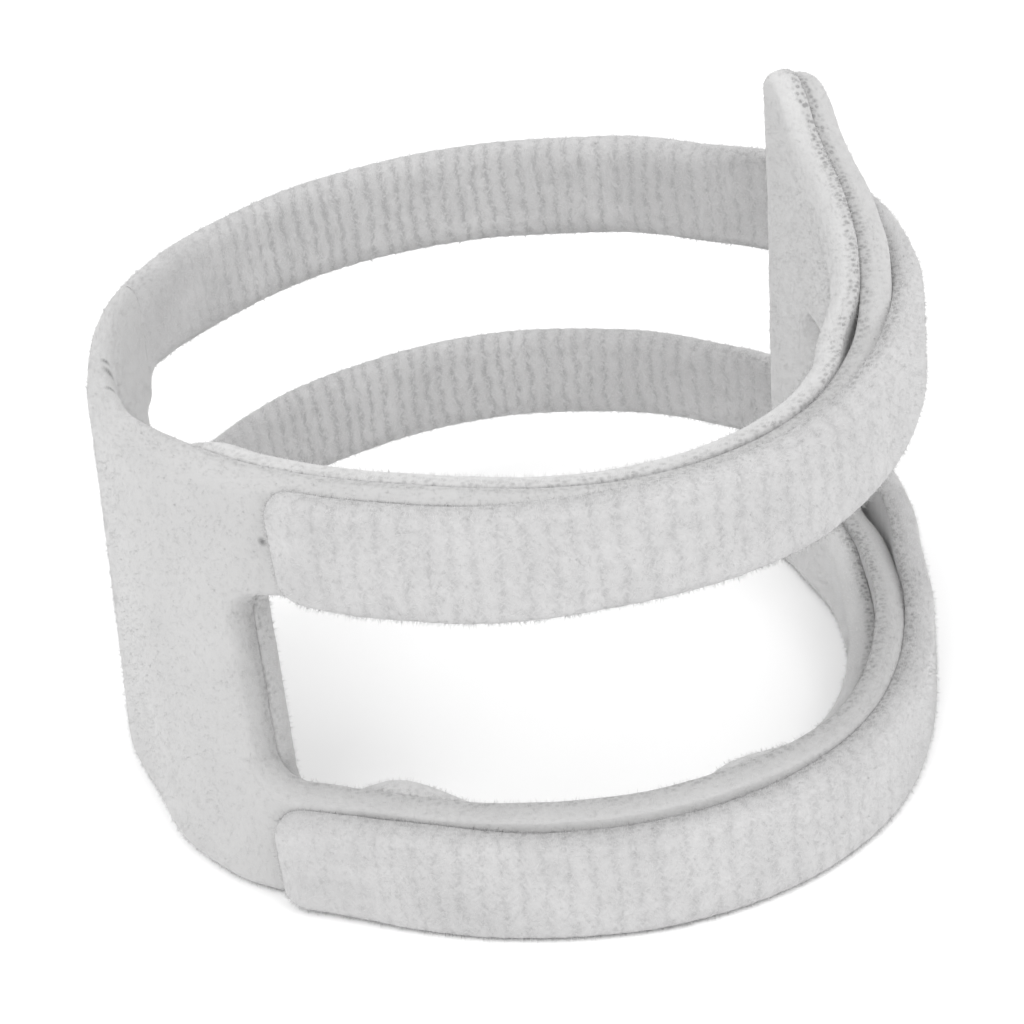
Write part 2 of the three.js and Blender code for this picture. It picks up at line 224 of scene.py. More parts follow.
def faces_of(patch):
    """The two faces of a grid of cloth: side, points in metres, and depth through the cloth in mm.
    The faces meet at the cut edge part way through the cloth, and leave it on quarter ellipses."""
    angle, height = patch["angle"], patch["height"]
    half, middle = 0.5 * (patch["outer"] - patch["inner"]) + plush, 0.5 * (patch["outer"] + patch["inner"])
    meet = middle + half * along(patch["rounding"], 3, angle)
    turned = tab_lean(angle, height) if patch["slanted"] else angle
    turn, wall = np.radians(turned), wall_radius(turned, height)
    faces = []
    for side, column in ((1, 1), (-1, 2)):
        rounding = np.minimum(along(patch["rounding"], column, angle), patch["limit"])
        shown = np.clip(patch["edge"] / rounding, 0, 1)
        rise = np.sqrt(np.clip(1 - (1 - shown) ** 2, 0, 1))
        depth = meet + (middle + side * half - meet) * rise
        x = (wall + depth) * np.cos(turn) + origin_from_axis[0]
        y = (wall + depth) * np.sin(turn) + origin_from_axis[1]
        faces.append((side, np.stack([x, y, height], axis=-1) / 1000, depth - patch["inner"]))
    return faces


def cloth_piece(name, patches, ribs, hidden, beside):
    """Sews grids of cloth into one closed piece: an outer and an inner face for each, joined where their
    edges meet, with a cap where a grid ends in the open. ribs and hidden are functions of angle, height
    and side (1 out, -1 in), and beside is the side that another layer lies on. Then each point moves along
    its normal by the relief of the ribs, less on the cut edge, and by low lumps."""
    points, quads, places, marks = [], [], [], []
    count = 0
    for patch in patches:
        n, m = patch["angle"].shape
        index = np.arange(n * m).reshape(n, m)
        grids = []
        angle, height, edge = patch["angle"], patch["height"], patch["edge"]
        for side, face, depth in faces_of(patch):
            points.append(face.reshape(-1, 3))
            grid = index + count
            grids.append(grid)
            count += n * m
            if patch.get("ring"):
                grid = np.concatenate([grid, grid[:1]])
            a, b, c, d = grid[:-1, :-1], grid[1:, :-1], grid[1:, 1:], grid[:-1, 1:]
            quads.append(np.stack([a, b, c, d] if side == 1 else [a, d, c, b], axis=-1).reshape(-1, 4))
            places.append(np.stack([angle / per_mm, height, depth], axis=-1).reshape(-1, 3))
            near = np.clip(1 - edge / edge_reach, 0, 1)
            # Painted shade on the cut edge where this layer meets the next, and a faint darkening along every cut
            # edge
            joint = (patch["outer"] - patch["inner"] + plush) if beside > 0 else -plush
            at_joint = 1 - smoothstep(np.abs(depth - joint), *joint_shade_band)
            at_edge = 1 - smoothstep(edge, *joint_shade_reach)
            joint_shade = along(patch["rounding"], 4, angle) * at_joint * at_edge + joint_shade_trace * near
            mark = [ribs(angle, height, side), np.maximum(1 - hidden(angle, height, side), near), near, joint_shade]
            marks.append(np.stack(np.broadcast_arrays(*mark), axis=-1).reshape(-1, 4))
        for row, column in patch.get("caps", ()):
            out, inn = grids[0][row, column], grids[1][row, column]
            quads.append(np.stack([out[:-1], out[1:], inn[1:], inn[:-1]], axis=-1))
    mesh = bpy.data.meshes.new(name)
    mesh.from_pydata(np.concatenate(points), [], np.concatenate(quads))
    mesh.attributes.new("cloth", "FLOAT_VECTOR", "POINT").data.foreach_set("vector", np.concatenate(places).ravel())
    for i, label in enumerate(("ribs", "bare", "near", "joint_shade")):
        mesh.attributes.new(label, "FLOAT", "POINT").data.foreach_set("value", np.concatenate(marks)[:, i])
    work = bmesh.new()
    work.from_mesh(mesh)
    bmesh.ops.remove_doubles(work, verts=work.verts, dist=2e-6)
    bmesh.ops.recalc_face_normals(work, faces=work.faces)
    work.to_mesh(mesh)
    work.free()
    mesh.shade_smooth()
    total = len(mesh.vertices)
    co, normal, place = np.empty(total * 3), np.empty(total * 3), np.empty(total * 3)
    rib, near = np.empty(total), np.empty(total)
    mesh.vertices.foreach_get("co", co)
    mesh.vertex_normals.foreach_get("vector", normal)
    mesh.attributes["cloth"].data.foreach_get("vector", place)
    mesh.attributes["ribs"].data.foreach_get("value", rib)
    mesh.attributes["near"].data.foreach_get("value", near)
    u, v, w = place.reshape(-1, 3).T
    sway = 0.1 * np.sin(v / 1.4 + 0.31 * u) + 0.09 * np.sin(v / 0.42 + 1.7 * u) + 0.14 * np.sin(0.9 * u)
    crest = np.abs(np.cos(np.pi * (u + sway + 0.2 * w) / rib_pitch)) ** 0.8
    mesh.attributes.new("crest", "FLOAT", "POINT").data.foreach_set("value", crest)
    lumps = np.sin(0.9 * u + 0.5 * v) * np.sin(0.8 * v - 0.3 * u) + 0.5 * np.sin(0.45 * u + 1.1 * v)
    relief = rib_relief * rib * (crest - rib_middle) * (1 - 0.5 * near) + lump_height * lumps
    moved = co.reshape(-1, 3) + normal.reshape(-1, 3) * relief[:, None] / 1000
    moved[:, 2] = np.maximum(moved[:, 2], 0)
    mesh.vertices.foreach_set("co", moved.ravel())
    mesh.update()
    mesh.set_sharp_from_angle(angle=1.3)
    piece = bpy.data.objects.new(name, mesh)
    bpy.context.scene.collection.objects.link(piece)
    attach(piece, "root")
    return piece


def nap_of(piece, name, fibres, seed):
    """Short brushed fibres on the bare cloth, each a needle of four faces: its foot sits in the cloth at a
    random point, and it leans by a random angle from the normal towards a random side. They grow on the cut
    edge, on the smooth face or on the crests of the ribs, as the table says."""
    rng = np.random.default_rng(seed)
    mesh = piece.data
    mesh.calc_loop_triangles()
    tri = np.empty(3 * len(mesh.loop_triangles), np.int32)
    mesh.loop_triangles.foreach_get("vertices", tri)
    tri = tri.reshape(-1, 3)
    total = len(mesh.vertices)
    co, normal = np.empty(total * 3), np.empty(total * 3)
    mesh.vertices.foreach_get("co", co)
    mesh.vertex_normals.foreach_get("vector", normal)
    co, normal = co.reshape(-1, 3), normal.reshape(-1, 3)
    bare, near, rib, crest = (np.empty(total) for _ in range(4))
    for label, values in (("bare", bare), ("near", near), ("ribs", rib), ("crest", crest)):
        mesh.attributes[label].data.foreach_get("value", values)
    grows = {"edge": near, "face": bare**2 * (1 - near) * (1 - rib), "ribs": bare**2 * (1 - near) * rib * crest}
    a, b, c = co[tri[:, 0]], co[tri[:, 1]], co[tri[:, 2]]
    area = np.linalg.norm(np.cross(b - a, c - a), axis=1)
    points, normals = [], []
    for where, strands, length, radius, least, greatest in fibres:
        weight = area * grows[where][tri].mean(axis=1)
        pick = rng.choice(len(tri), strands, p=weight / weight.sum())
        s, t = np.sqrt(rng.random(strands)), rng.random(strands)
        mix = np.stack([1 - s, s * (1 - t), s * t], axis=1)[:, :, None]
        root = (co[tri[pick]] * mix).sum(axis=1)
        up = (normal[tri[pick]] * mix).sum(axis=1)
        up /= np.linalg.norm(up, axis=1, keepdims=True)
        across = np.cross(up, rng.normal(size=(strands, 3)))
        across /= np.linalg.norm(across, axis=1, keepdims=True)
        tilt = np.radians(rng.uniform(least, greatest, (strands, 1)))
        way = up * np.cos(tilt) + across * np.sin(tilt)
        reach = length * rng.uniform(*fibre_lengths, (strands, 1)) / 1000
        one = np.cross(way, up + 0.3 * across)
        one /= np.linalg.norm(one, axis=1, keepdims=True) + 1e-9
        two = np.cross(way, one)
        foot = [root - up * fibre_root / 1000 + radius / 1000 * (np.cos(k) * one + np.sin(k) * two)
                for k in (0, 2.094, 4.189)]
        points.append(np.stack([*foot, root + way * reach], axis=1))
        soft = up + 0.12 * way
        normals.append(np.repeat(soft / np.linalg.norm(soft, axis=1, keepdims=True), 4, axis=0))
    points = np.concatenate(points)
    points[:, :, 2] = np.maximum(points[:, :, 2], 2e-5)
    first = 4 * np.arange(len(points))[:, None]
    quads = np.concatenate([first + [0, 1, 3], first + [1, 2, 3], first + [2, 0, 3], first + [0, 2, 1]])
    fuzz = bpy.data.meshes.new(name)
    fuzz.from_pydata(points.reshape(-1, 3), [], quads)
    fuzz.shade_smooth()
    fuzz.normals_split_custom_set_from_vertices(np.concatenate(normals))
    made = bpy.data.objects.new(name, fuzz)
    bpy.context.scene.collection.objects.link(made)
    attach(made, "root")
    return made


def group(name, inputs, outputs):
    """A shader node group with its sockets: name and kind of each input and output."""
    tree = bpy.data.node_groups.new(name, "ShaderNodeTree")
    for label, kind in inputs:
        tree.interface.new_socket(label, in_out="INPUT", socket_type="NodeSocket" + kind)
    for label, kind in outputs:
        tree.interface.new_socket(label, in_out="OUTPUT", socket_type="NodeSocket" + kind)
    return tree, tree.nodes.new("NodeGroupInput"), tree.nodes.new("NodeGroupOutput")


def node(tree, kind, values=(), **settings):
    """A node with some input values or links, by socket name or number, and its settings."""
    made = tree.nodes.new("ShaderNode" + kind)
    for label, value in settings.items():
        setattr(made, label, value)
    for label, value in dict(values).items():
        if isinstance(value, bpy.types.NodeSocket):
            tree.links.new(value, made.inputs[label])
        else:
            made.inputs[label].default_value = value
    return made


# Brushed nap, in mm of cloth: two families of fine fibres that cross, soft patches where it lies another way,
# and painted shade in the grooves between the ribs, broken up by the fibres. Tone is 0.5 on plain cloth.
nap_and_groove_shade, given, result = group(
    "Nap and groove shade",
    [("Place", "Vector"), ("Crest", "Float"), ("Ribs", "Float"), ("Fibres", "Float")],
    [("Tone", "Float"), ("Height", "Float")],
)
fibre_tones = []
for comb_way in (0.55, -0.5):
    turned = node(nap_and_groove_shade, "Mapping", {"Vector": given.outputs["Place"], "Rotation": (0, 0, comb_way)})
    drawn = node(nap_and_groove_shade, "Mapping", {"Vector": turned.outputs[0], "Scale": (4.4, 1.7, 3.5)})
    fibre_tones.append(node(nap_and_groove_shade, "TexNoise", {"Vector": drawn.outputs[0], "Scale": 1.0, "Detail": 2.5,
                                                      "Roughness": 0.55, "Distortion": 0.6}))
crossed = node(nap_and_groove_shade, "Math", {0: fibre_tones[0].outputs[0], 1: fibre_tones[1].outputs[0]},
               operation="MAXIMUM")
strands = node(nap_and_groove_shade, "MapRange", {"Value": crossed.outputs[0], "From Min": 0.42, "From Max": 0.68,
                                         "To Min": -1.0, "To Max": 1.0})
soft_patches = node(nap_and_groove_shade, "TexNoise", {"Vector": given.outputs["Place"], "Scale": 0.22, "Detail": 3.0})
lying = node(nap_and_groove_shade, "MapRange", {"Value": soft_patches.outputs[0], "From Min": 0.3, "From Max": 0.7,
                                       "To Min": 0.32, "To Max": 0.68})
strong = node(nap_and_groove_shade, "Math", {0: given.outputs["Ribs"], 1: 0.2, 2: given.outputs["Fibres"]},
              operation="MULTIPLY_ADD")
combed = node(nap_and_groove_shade, "Math", {0: strands.outputs[0], 1: strong.outputs[0], 2: lying.outputs[0]},
              operation="MULTIPLY_ADD")
# Painted shade: the grooves between the ribs are darkened in the colour, broken up where the nap is open
groove_shade = node(nap_and_groove_shade, "MapRange", {"Value": given.outputs["Crest"], "From Min": 0.95, "From Max": 0.15,
                                        "To Min": -0.6, "To Max": 1.1})
open_nap = node(nap_and_groove_shade, "MapRange", {"Value": strands.outputs[0], "From Min": 0.7, "From Max": -0.8,
                                          "To Min": 0.15, "To Max": 1.0})
broken_groove_shade = node(nap_and_groove_shade, "Math", {0: groove_shade.outputs[0], 1: open_nap.outputs[0]}, operation="MULTIPLY")
rib_shade = node(nap_and_groove_shade, "Math", {0: broken_groove_shade.outputs[0], 1: given.outputs["Ribs"]},
                 operation="MULTIPLY")
tone = node(nap_and_groove_shade, "Math", {0: rib_shade.outputs[0], 1: -0.66, 2: combed.outputs[0]},
            operation="MULTIPLY_ADD")
nap_and_groove_shade.links.new(tone.outputs[0], result.inputs["Tone"])
nap_and_groove_shade.links.new(combed.outputs[0], result.inputs["Height"])

# Painted shade along the crease where two layers meet: a soft dark line, broken into dots
painted_joint_shade, given, result = group("Painted joint shade", [("Place", "Vector"), ("Amount", "Float")], [("Dark", "Float")])
cells = node(painted_joint_shade, "TexVoronoi", {"Vector": given.outputs["Place"], "Scale": 2300.0, "Randomness": 0.9})
dots = node(painted_joint_shade, "MapRange", {"Value": cells.outputs["Distance"], "From Min": 0.62, "From Max": 0.2})
grit = node(painted_joint_shade, "TexNoise", {"Vector": given.outputs["Place"], "Scale": 700.0, "Detail": 3.0})
broken = node(painted_joint_shade, "MapRange", {"Value": grit.outputs[0], "From Min": 0.25, "From Max": 0.5})
some = node(painted_joint_shade, "Math", {0: dots.outputs[0], 1: broken.outputs[0], 2: 0.3}, operation="MULTIPLY_ADD")
dark = node(painted_joint_shade, "Math", {0: some.outputs[0], 1: given.outputs["Amount"]},
            operation="MULTIPLY", use_clamp=True)
painted_joint_shade.links.new(dark.outputs[0], result.inputs["Dark"])


def cloth_material(name, pale, deep, fibre_share):
    """Brushed cloth: two tones of its colour mixed by the nap, with painted shade in rib grooves and layer joints.
    """
    made = bpy.data.materials.new(name)
    made.use_nodes = True
    tree = made.node_tree
    shader = tree.nodes["Principled BSDF"]
    place, crest, ribs, joint_shade = (
        node(tree, "Attribute", attribute_name=label) for label in ("cloth", "crest", "ribs", "joint_shade")
    )
    nap_and_shade = node(tree, "Group", node_tree=nap_and_groove_shade)
    nap_and_shade.inputs["Fibres"].default_value = fibre_share
    tree.links.new(place.outputs["Vector"], nap_and_shade.inputs["Place"])
    tree.links.new(crest.outputs["Fac"], nap_and_shade.inputs["Crest"])
    tree.links.new(ribs.outputs["Fac"], nap_and_shade.inputs["Ribs"])
    colour = node(tree, "Mix", {"Factor": nap_and_shade.outputs["Tone"]}, data_type="RGBA", clamp_factor=True)
    colour.inputs[6].default_value, colour.inputs[7].default_value = (*deep, 1), (*pale, 1)
    where = node(tree, "TexCoord")
    # Painted shade where two layers meet, mixed into the base colour
    cut = node(tree, "Group", node_tree=painted_joint_shade)
    tree.links.new(where.outputs["Object"], cut.inputs["Place"])
    tree.links.new(joint_shade.outputs["Fac"], cut.inputs["Amount"])
    edged = node(tree, "Mix", {"Factor": cut.outputs["Dark"]}, data_type="RGBA")
    tree.links.new(colour.outputs[2], edged.inputs[6])
    edged.inputs[7].default_value = (*joint_shade_dark, 1)
    tree.links.new(edged.outputs[2], shader.inputs["Base Color"])
    bump = node(tree, "Bump", {"Height": nap_and_shade.outputs["Height"], "Strength": 0.3, "Distance": 0.00015})
    tree.links.new(bump.outputs[0], shader.inputs["Normal"])
    for label, value in (
        ("Roughness", 0.95), ("Specular IOR Level", 0.2), ("Sheen Weight", 0.3), ("Sheen Roughness", 0.6),
    ):
        shader.inputs[label].default_value = value
    return made


def fibre_material(name, pale):
    """Loose fibres: paler than the cloth, painted light against their dark undersides, and varied from place to
    place.
    """
    made = bpy.data.materials.new(name)
    made.use_nodes = True
    tree = made.node_tree
    shader = tree.nodes["Principled BSDF"]
    place = node(tree, "TexCoord")
    spots = node(tree, "TexNoise", {"Vector": place.outputs["Object"], "Scale": 900.0, "Detail": 2.0})
    colour = node(tree, "Mix", {"Factor": spots.outputs[0]}, data_type="RGBA")
    # Painted light: the fibres are made paler than the cloth to make up for the shade on their undersides
    colour.inputs[6].default_value = (*(1.05 * c for c in pale), 1)
    colour.inputs[7].default_value = (*(1.35 * c for c in pale), 1)
    tree.links.new(colour.outputs[2], shader.inputs["Base Color"])
    for label, value in (("Roughness", 1.0), ("Specular IOR Level", 0.1), ("Sheen Weight", 0.1)):
        shader.inputs[label].default_value = value
    return made


def frame_patch(left, low, high, sill, corners, rounding, counts, notch=None, **depths):
    """The cloth round the window: straight rows from each point of the window's edge to the matching
    point of the outer edge. A notch, as lower and upper height, leaves the left side open around it."""
    *steps, middle_rows = counts
    along_count, up_count, corner_count = steps
    window = rounded_loop(
        window_start, window_end, lambda a: lower_strap_width * along(sill, 1, a),
        lambda a: panel_height * along(window_head, 1, a), (window_corner, window_corner), steps,
    )
    outer = rounded_loop(left, tab_edge, low, high, corners, steps)
    angle, height = rows_between(window, outer, rounding, middle_rows, window_rounding)
    edge = from_outline(angle, height, None if notch else left, tab_edge, low, high, outer_corner)
    beside_window = from_window(angle, height, sill)
    limit = np.where(beside_window < edge, window_rounding, widest_rounding)
    edge = np.minimum(edge, beside_window)
    edge[:, 0] = 0
    edge[:, -1] = 0
    patch = {"angle": angle, "height": height, "ring": True, "slanted": True, "rounding": rounding, "limit": limit}
    if notch:
        first = 2 * along_count + up_count + 3 * corner_count
        sewn = slice(first, first + up_count)
        away = np.maximum(np.maximum(notch[0] - height, height - notch[1]), 0)
        above = np.minimum(high(angle) - height, height - low(angle))
        edge[sewn, -1] = above[sewn, -1]
        edge = np.minimum(edge, np.hypot((angle - left) / per_mm, away))
        patch["caps"] = [(sewn, -1)]
    patch["edge"] = np.maximum(edge, 0)
    for label, depth in depths.items():
        patch[label] = depth(angle, height)
    return patch


def lining_depth(angle, height):
    """Minus the fold's depth: it fades in over the upper part and dies out as a squared cosine."""
    away = np.minimum(1, np.abs(angle - fold_at) / fold_spread)
    fade = smoothstep(height / top_height(angle), fold_lowest - fold_fade, fold_lowest + fold_fade)
    return -cloth_thickness * fold_share * fade * np.cos(away * np.pi / 2) ** 2


def no_ribs(angle, height, side):
    """The wide ends and the rails round the window are brushed smooth."""
    return 0 * angle


def lining_top(angle):
    """The top edge, sinking behind the shell's where the lining ends."""
    return top_height(angle) - end_sink * (1 - smoothstep(angle, lining_end, lining_end + 12))


def lining_inner(angle, height):
    """The wall, where the fold lets it be; at its end the lining is skived thin."""
    return lining_depth(angle, height) + skived_by * (1 - smoothstep(angle, lining_end, lining_end + skived_over))


lining = cloth_piece(
    "lining_cloth",
    [frame_patch(lining_end, lambda a: 0 * a, lining_top, lining_sill, (outer_corner, outer_corner), lining_edge,
                 (200, 60, 32, 16), inner=lining_inner, outer=lambda a, h: lining_depth(a, h) + cloth_thickness)],
    no_ribs, lambda a, h, side: (side > 0) + 0 * a, 1,
)
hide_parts("lining")
lining.data.materials.append(cloth_material("lining_cloth", lining_pale, lining_deep, 0.1))
lining_nap = nap_of(lining, "lining_nap", lining_fibres, 3)
lining_nap.data.materials.append(fibre_material("lining_fibres", lining_pale))

# The shell: the outer layer of the same laminate. It covers the lining round the window and on the tab,
# makes the left panel's smooth face, turns the left bend by itself and there forks into the two straps.
shell_end = -203.0
shell_drop = 0.6
upper_strap_width = 8.9
fork_corner = 3.0
# At the fork the foot has lifted and the top has risen by these shares of the panel's height
fork_foot, fork_rise = 0.17, 0.01
# Lower edge of the window in the shell, and the shell's foot, which lifts off the surface past the bend
shell_sill = [(-126, 1.12), (-100, 1.1), (-70, 1.1), (-45, 1), (12, 1.05)]
shell_foot = [(shell_end, fork_foot), (-192, 0.08), (-178, 0), (34, 0)]
shell_layer = [(-203, 0), (-185, 0), (-165, 0.35), (-146, 1), (34, 1)]
# Its cut edge, with the columns of the lining's: full and round where it is a single layer
shell_edge = [
    (-203, 2.3, 2.3, 0, 0), (-168, 2.3, 2.3, 0, 0), (-146, 1.5, 0.7, -0.4, 0.3), (-124, 1.3, 0.15, -0.5, 0.4),
    (-112, 0.45, 0.15, 0, 0.5), (-20, 0.45, 0.15, 0, 0.7), (0, 0.8, 0.15, -0.4, 1), (34, 1.2, 0.15, -0.5, 1),
]
shell_pale, shell_deep = (0.475, 0.473, 0.472), (0.41, 0.408, 0.408)
# Specks of dark lint in its nap: along, up and through the cloth, and radius, in mm
lint_specks = [
    (-93.3, 36.8, 0.5, 0.6), (-91.5, 36.4, 0.25, 0.95), (-87.2, 36.7, 0.45, 0.7), (-64.6, 31.6, 2.25, 0.45),
]
lint_dark = (0.16, 0.16, 0.16)
# What the straps hide of its outer face: first angle, lowest and highest height in mm
under_upper_strap, under_lower_strap = (-117, 28.6, 35), (-124, 0, 8.4)
shell_fibres = [("edge", 20000, 0.4, 0.018, 10, 75), ("face", 22000, 0.44, 0.016, 30, 84)]


def shell_top(angle):
    """The lining's top edge, a little lower towards the tab, and rising to the strap's at the fork."""
    top = top_height(angle) - shell_drop * smoothstep(angle, window_start, 0)
    return top + fork_rise * panel_height * (1 - smoothstep(angle, shell_end, -185))


def shell_low(angle):
    """The foot: its table's share of the panel's height."""
    return panel_height * along(shell_foot, 1, angle)


def shell_depth(angle, height):
    """One layer out over the lining, and none where the shell turns the left bend by itself."""
    return layer_pitch * along(shell_layer, 1, angle)


def under_something(angle, height, side):
    """The shell's inner face over the lining, and its outer face under the two straps."""
    inside = (side < 0) & (angle > lining_end + 3)
    for first, low, high in (under_upper_strap, under_lower_strap):
        inside = inside | (side > 0) & (angle > first) & (height >= low) & (height < high)
    return 1.0 * inside


fork = (
    panel_height * fork_foot + lower_strap_width + fork_corner,
    panel_height * (1 + fork_rise) - upper_strap_width - fork_corner,
)
shell = cloth_piece(
    "shell_cloth",
    [frame_patch(shell_end, shell_low, shell_top, shell_sill, (0, outer_corner), shell_edge, (210, 70, 48, 24),
                 notch=fork, inner=shell_depth, outer=lambda a, h: shell_depth(a, h) + cloth_thickness)],
    no_ribs, under_something, -1,
)
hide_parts("shell")
shell_finish = cloth_material("shell_cloth", shell_pale, shell_deep, 0.1)
shell_nodes = shell_finish.node_tree
shell_place = node(shell_nodes, "Attribute", attribute_name="cloth")
shell_colour = shell_nodes.nodes["Principled BSDF"].inputs["Base Color"]
for along_cloth, up_cloth, through, radius in lint_specks:
    away = node(shell_nodes, "VectorMath", {0: shell_place.outputs["Vector"], 1: (along_cloth, up_cloth, through)},
                operation="DISTANCE")
    speck = node(shell_nodes, "MapRange", {"Value": away.outputs["Value"], "From Min": radius,
                                           "From Max": 0.2 * radius})
    specked = node(shell_nodes, "Mix", {"Factor": speck.outputs[0]}, data_type="RGBA")
    shell_nodes.links.new(shell_colour.links[0].from_socket, specked.inputs[6])
    specked.inputs[7].default_value = (*lint_dark, 1)
    shell_nodes.links.new(specked.outputs[2], shell_colour)
shell.data.materials.append(shell_finish)
shell_nap = nap_of(shell, "shell_nap", shell_fibres, 5)
shell_nap.data.materials.append(fibre_material("shell_fibres", shell_pale))

# The two straps: narrow ends of the shell's own strip, ribbed and longer in the nap. Each goes round the
# back, outside the tab, and lies on the front panel, held by a patch of hook tape under its end.
strap_corner = 2.0
hidden_past = -331  # from here to its loose end a strap lies on the shell
drift_at, drift_spread, drift_share = -348, 22, 0.48
hook_thickness, hook_length, hook_setback, hook_clearance, hook_ramp = 0.5, 12.0, 5.0, 2.0, 2.0
hook_margin = 0.8  # the strap comes back down to the shell this far from its long edges
strap_layer = [(-203, 0), (-280, 0), (-305, 0.9), (-324, 2), (-486, 2)]
# Angle, edge as a share of the panel's height, width as a share of the strap's own
upper_strap = [
    (shell_end, 1 + fork_rise, 1), (-225, 1.02, 1.02), (-245, 1.035, 1.02), (-270, 1.04, 1.05), (-295, 1.035, 1.07),
    (-315, 1.015, 1.07), (-335, 1.02, 1.04), (-354, 1.03, 1.02), (-370, 1.025, 0.97), (-390, 1.015, 0.94),
    (-405, 0.985, 0.94), (-420, 0.96, 0.94), (-435, 0.955, 0.93), (-450, 0.953, 0.95), (-465, 0.967, 0.965),
    (-479, 0.978, 0.97),
]
lower_strap = [
    (shell_end, fork_foot, 1), (-220, 0.25, 1), (-240, 0.272, 1.03), (-270, 0.275, 1.04), (-295, 0.262, 1.02),
    (-312, 0.235, 1), (-324, 0.215, 1), (-336, 0.16, 1), (-348, 0.09, 1), (-360, 0.05, 1), (-375, 0.02, 1),
    (-392, 0, 0.98), (-450, 0, 0.98), (-465, 0, 1.04), (-486, 0, 1),
]
# How strong the ribs stand: angle, share
strap_ribs = [
    (-203, 0), (-222, 0.3), (-238, 1), (-268, 1), (-284, 0.8), (-300, 0.65), (-330, 0.3), (-350, 0.1),
    (-390, 0.1), (-403, 0.2), (-418, 0.45), (-466, 0.42), (-479, 0.1),
]
# Their cut edges, with the columns of the lining's: they thin out at the loose end
strap_edge = [
    (-203, 2.3, 2.3, 0, 0), (-225, 1.4, 2, 0, 0), (-300, 1.3, 2, 0, 0), (-330, 1.1, 0.2, -0.3, 0.8),
    (-390, 0.9, 0.2, -0.3, 1), (-420, 0.9, 0.2, -0.3, 0.6), (-468, 1, 0.2, -0.3, 0.5), (-480, 2.4, 0.2, -0.9, 0),
]
strap_pale, strap_deep = (0.522, 0.519, 0.52), (0.358, 0.356, 0.358)
strap_fibres = [
    ("edge", 22000, 0.45, 0.017, 5, 75), ("face", 9000, 0.44, 0.016, 30, 84), ("ribs", 13000, 0.55, 0.017, 35, 84),
]


def fork_flare(angle):
    """How far a strap widens into the fork's round corner."""
    left = np.maximum(fork_corner - (shell_end - angle) / per_mm, 0)
    return fork_corner - np.sqrt(np.maximum(fork_corner**2 - left**2, 0))


def hook_lift(angle, end):
    """The room over the hook tape: up over a ramp, level along the tape, and down again."""
    distance = np.abs(angle - end) / per_mm
    start, finish = hook_setback - hook_clearance, hook_setback + hook_length + hook_clearance
    up = smoothstep(distance, start - hook_ramp, start)
    return (hook_thickness + layer_gap) * up * (1 - smoothstep(distance, finish, finish + hook_ramp))


def strap_patch(end, low, high, fold, columns, middle_rows):
    """A strap's grid, from its loose end to the fork: columns across it, close together at its round end."""
    bend = np.linspace(0, np.pi / 2, 11)
    length = (shell_end - end) / per_mm
    near = strap_corner * (1 - np.cos(bend))
    distance = np.concatenate([near, np.linspace(strap_corner, length, columns)[1:]])
    left = np.maximum(strap_corner - distance, 0)
    cut = strap_corner - np.sqrt(np.maximum(strap_corner**2 - left**2, 0))
    column = end + distance * per_mm
    angle, height = rows_between((column, low(column) + cut), (column, high(column) - cut), strap_edge, middle_rows)
    edge = from_outline(angle, height, end, None, low, high, strap_corner)
    edge[:, 0] = edge[:, -1] = edge[0] = 0
    depth = layer_pitch * along(strap_layer, 1, angle) + fold(angle)
    return {"angle": angle, "height": height, "edge": np.maximum(edge, 0), "slanted": False,
            "rounding": strap_edge, "limit": widest_rounding,
            "inner": depth + hook_lift(angle, end) * smoothstep(edge, 0, hook_margin),
            "outer": depth + cloth_thickness, "caps": [(-1, slice(None))]}


def strap_cloth(name, end, low, high, fold):
    """A strap with its ribs and its nap. Its inner face is bare round the back, and hidden on the shell."""
    strap = cloth_piece(
        name + "_cloth", [strap_patch(end, low, high, fold, 700, 16)],
        lambda a, h, side: along(strap_ribs, 1, a), lambda a, h, side: 1.0 * ((side < 0) & (a < hidden_past)), -1,
    )
    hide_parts(name)
    strap.data.materials.append(cloth_material(name + "_cloth", strap_pale, strap_deep, 0.08))
    strap_nap = nap_of(strap, name + "_nap", strap_fibres, len(name))
    strap_nap.data.materials.append(fibre_material(name + "_fibres", strap_pale))


strap_cloth(
    "upper_strap", -478.5,
    lambda a: panel_height * along(upper_strap, 1, a) - upper_strap_width * along(upper_strap, 2, a) - fork_flare(a),
    lambda a: panel_height * along(upper_strap, 1, a),
    lambda a: 0 * a,
)
strap_cloth(
    "lower_strap", -486.0,
    lambda a: panel_height * along(lower_strap, 1, a),
    lambda a: panel_height * along(lower_strap, 1, a) + lower_strap_width * along(lower_strap, 2, a) + fork_flare(a),
    lambda a: drift_share * cloth_thickness
    * np.cos(np.minimum(1, np.abs(a - drift_at) / drift_spread) * np.pi / 2) ** 2,
)

# The hook tape under the straps' ends: woven nylon tape with a field of fine hooks. It is hidden when the
# straps are fastened, so its own CAD shape is kept and only finished.
hook_pale, hook_deep = (0.62, 0.62, 0.6), (0.45, 0.45, 0.44)
hook_tape = bpy.data.materials.new("hook_tape")
hook_tape.use_nodes = True
hook_nodes = hook_tape.node_tree
hook_shader = hook_nodes.nodes["Principled BSDF"]
hook_place = node(hook_nodes, "TexCoord")
hooks = node(hook_nodes, "TexVoronoi", {"Vector": hook_place.outputs["Object"], "Scale": 1600.0,
                                        "Randomness": 0.3})
hook_shade = node(hook_nodes, "Mix", {"Factor": hooks.outputs["Distance"]}, data_type="RGBA")
hook_shade.inputs[6].default_value, hook_shade.inputs[7].default_value = (*hook_pale, 1), (*hook_deep, 1)
hook_nodes.links.new(hook_shade.outputs[2], hook_shader.inputs["Base Color"])
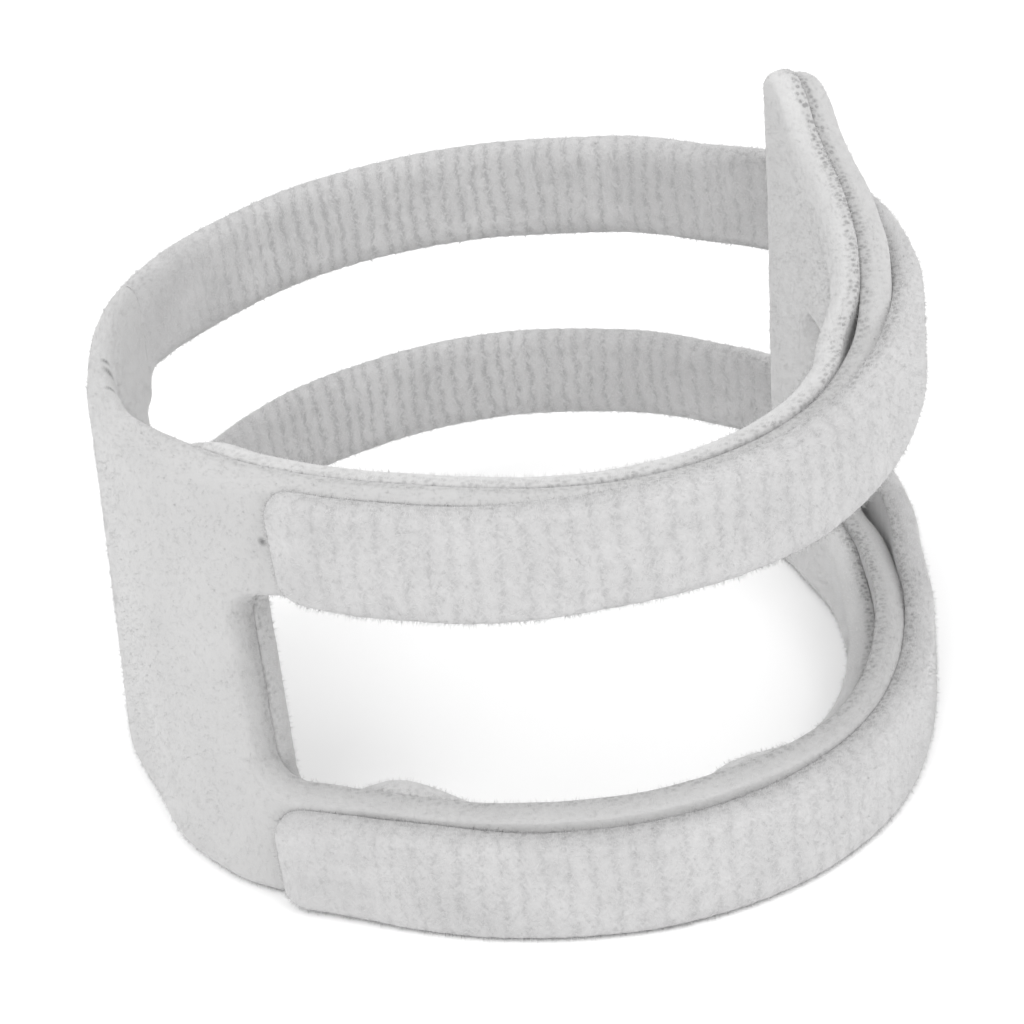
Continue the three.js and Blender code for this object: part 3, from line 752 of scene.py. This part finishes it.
hook_rise = node(hook_nodes, "Bump", {"Height": hooks.outputs["Distance"], "Strength": 0.6,
                                      "Distance": 0.0002})
hook_nodes.links.new(hook_rise.outputs[0], hook_shader.inputs["Normal"])
hook_shader.inputs["Roughness"].default_value = 0.6
for name in ("upper_hook_patch", "lower_hook_patch"):
    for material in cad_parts[name].material_slots:
        material.material = hook_tape

# The surface it lies on, the soft studio light and the camera: plain pale paper, an even white room, two
# square soft boxes in front of it and above, and a camera that looks down on it a little tilted.
bpy.ops.mesh.primitive_plane_add(size=6, location=(0, 0, 0))
floor = bpy.context.object
floor.name = "floor"
paper = bpy.data.materials.new("floor_paper")
paper.use_nodes = True
paper.node_tree.nodes["Principled BSDF"].inputs["Base Color"].default_value = (0.97, 0.97, 0.97, 1)
paper.node_tree.nodes["Principled BSDF"].inputs["Roughness"].default_value = 0.9
floor.data.materials.append(paper)

world = bpy.data.worlds.new("studio")
world.use_nodes = True
world.node_tree.nodes["Background"].inputs["Color"].default_value = (1, 1, 1, 1)
world.node_tree.nodes["Background"].inputs["Strength"].default_value = 1.0
bpy.context.scene.world = world
bpy.context.scene.view_settings.view_transform = "Standard"


def soft_box(name, place, aim, size, power):
    """A square area light at a place, turned towards a point."""
    light = bpy.data.lights.new(name, "AREA")
    light.shape, light.size, light.energy = "SQUARE", size, power
    lamp = bpy.data.objects.new(name, light)
    lamp.location = place
    away = np.array(place) - np.array(aim)
    lamp.rotation_euler = (np.arctan2(np.hypot(away[0], away[1]), away[2]), 0, np.arctan2(away[0], -away[1]))
    bpy.context.scene.collection.objects.link(lamp)


soft_box("key", (-0.3, -0.5, 0.75), (0, 0, 0.02), 0.6, 3.2)
soft_box("fill", (0.45, -0.45, 0.6), (0, 0, 0.02), 0.6, 2.2)

camera_elevation, camera_roll, focal_pixels = np.radians(26.516), np.radians(-8.168), 2203.36
ahead = np.array([0, np.cos(camera_elevation), -np.sin(camera_elevation)])
level_right = np.array([1.0, 0, 0])
level_up = np.array([0, np.sin(camera_elevation), np.cos(camera_elevation)])
right = np.cos(camera_roll) * level_right + np.sin(camera_roll) * level_up
up = -np.sin(camera_roll) * level_right + np.cos(camera_roll) * level_up
lens = bpy.data.cameras.new("camera")
lens.sensor_width = 36
lens.lens = 36 * focal_pixels / 1024
lens.clip_start = 0.01
camera = bpy.data.objects.new("camera", lens)
matrix = np.eye(4)
matrix[:3, 0], matrix[:3, 1], matrix[:3, 2] = right, up, -ahead
matrix[:3, 3] = (0.00065, -0.167204, 0.10072)
camera.matrix_world = Matrix(matrix)
bpy.context.scene.collection.objects.link(camera)
bpy.context.scene.camera = camera
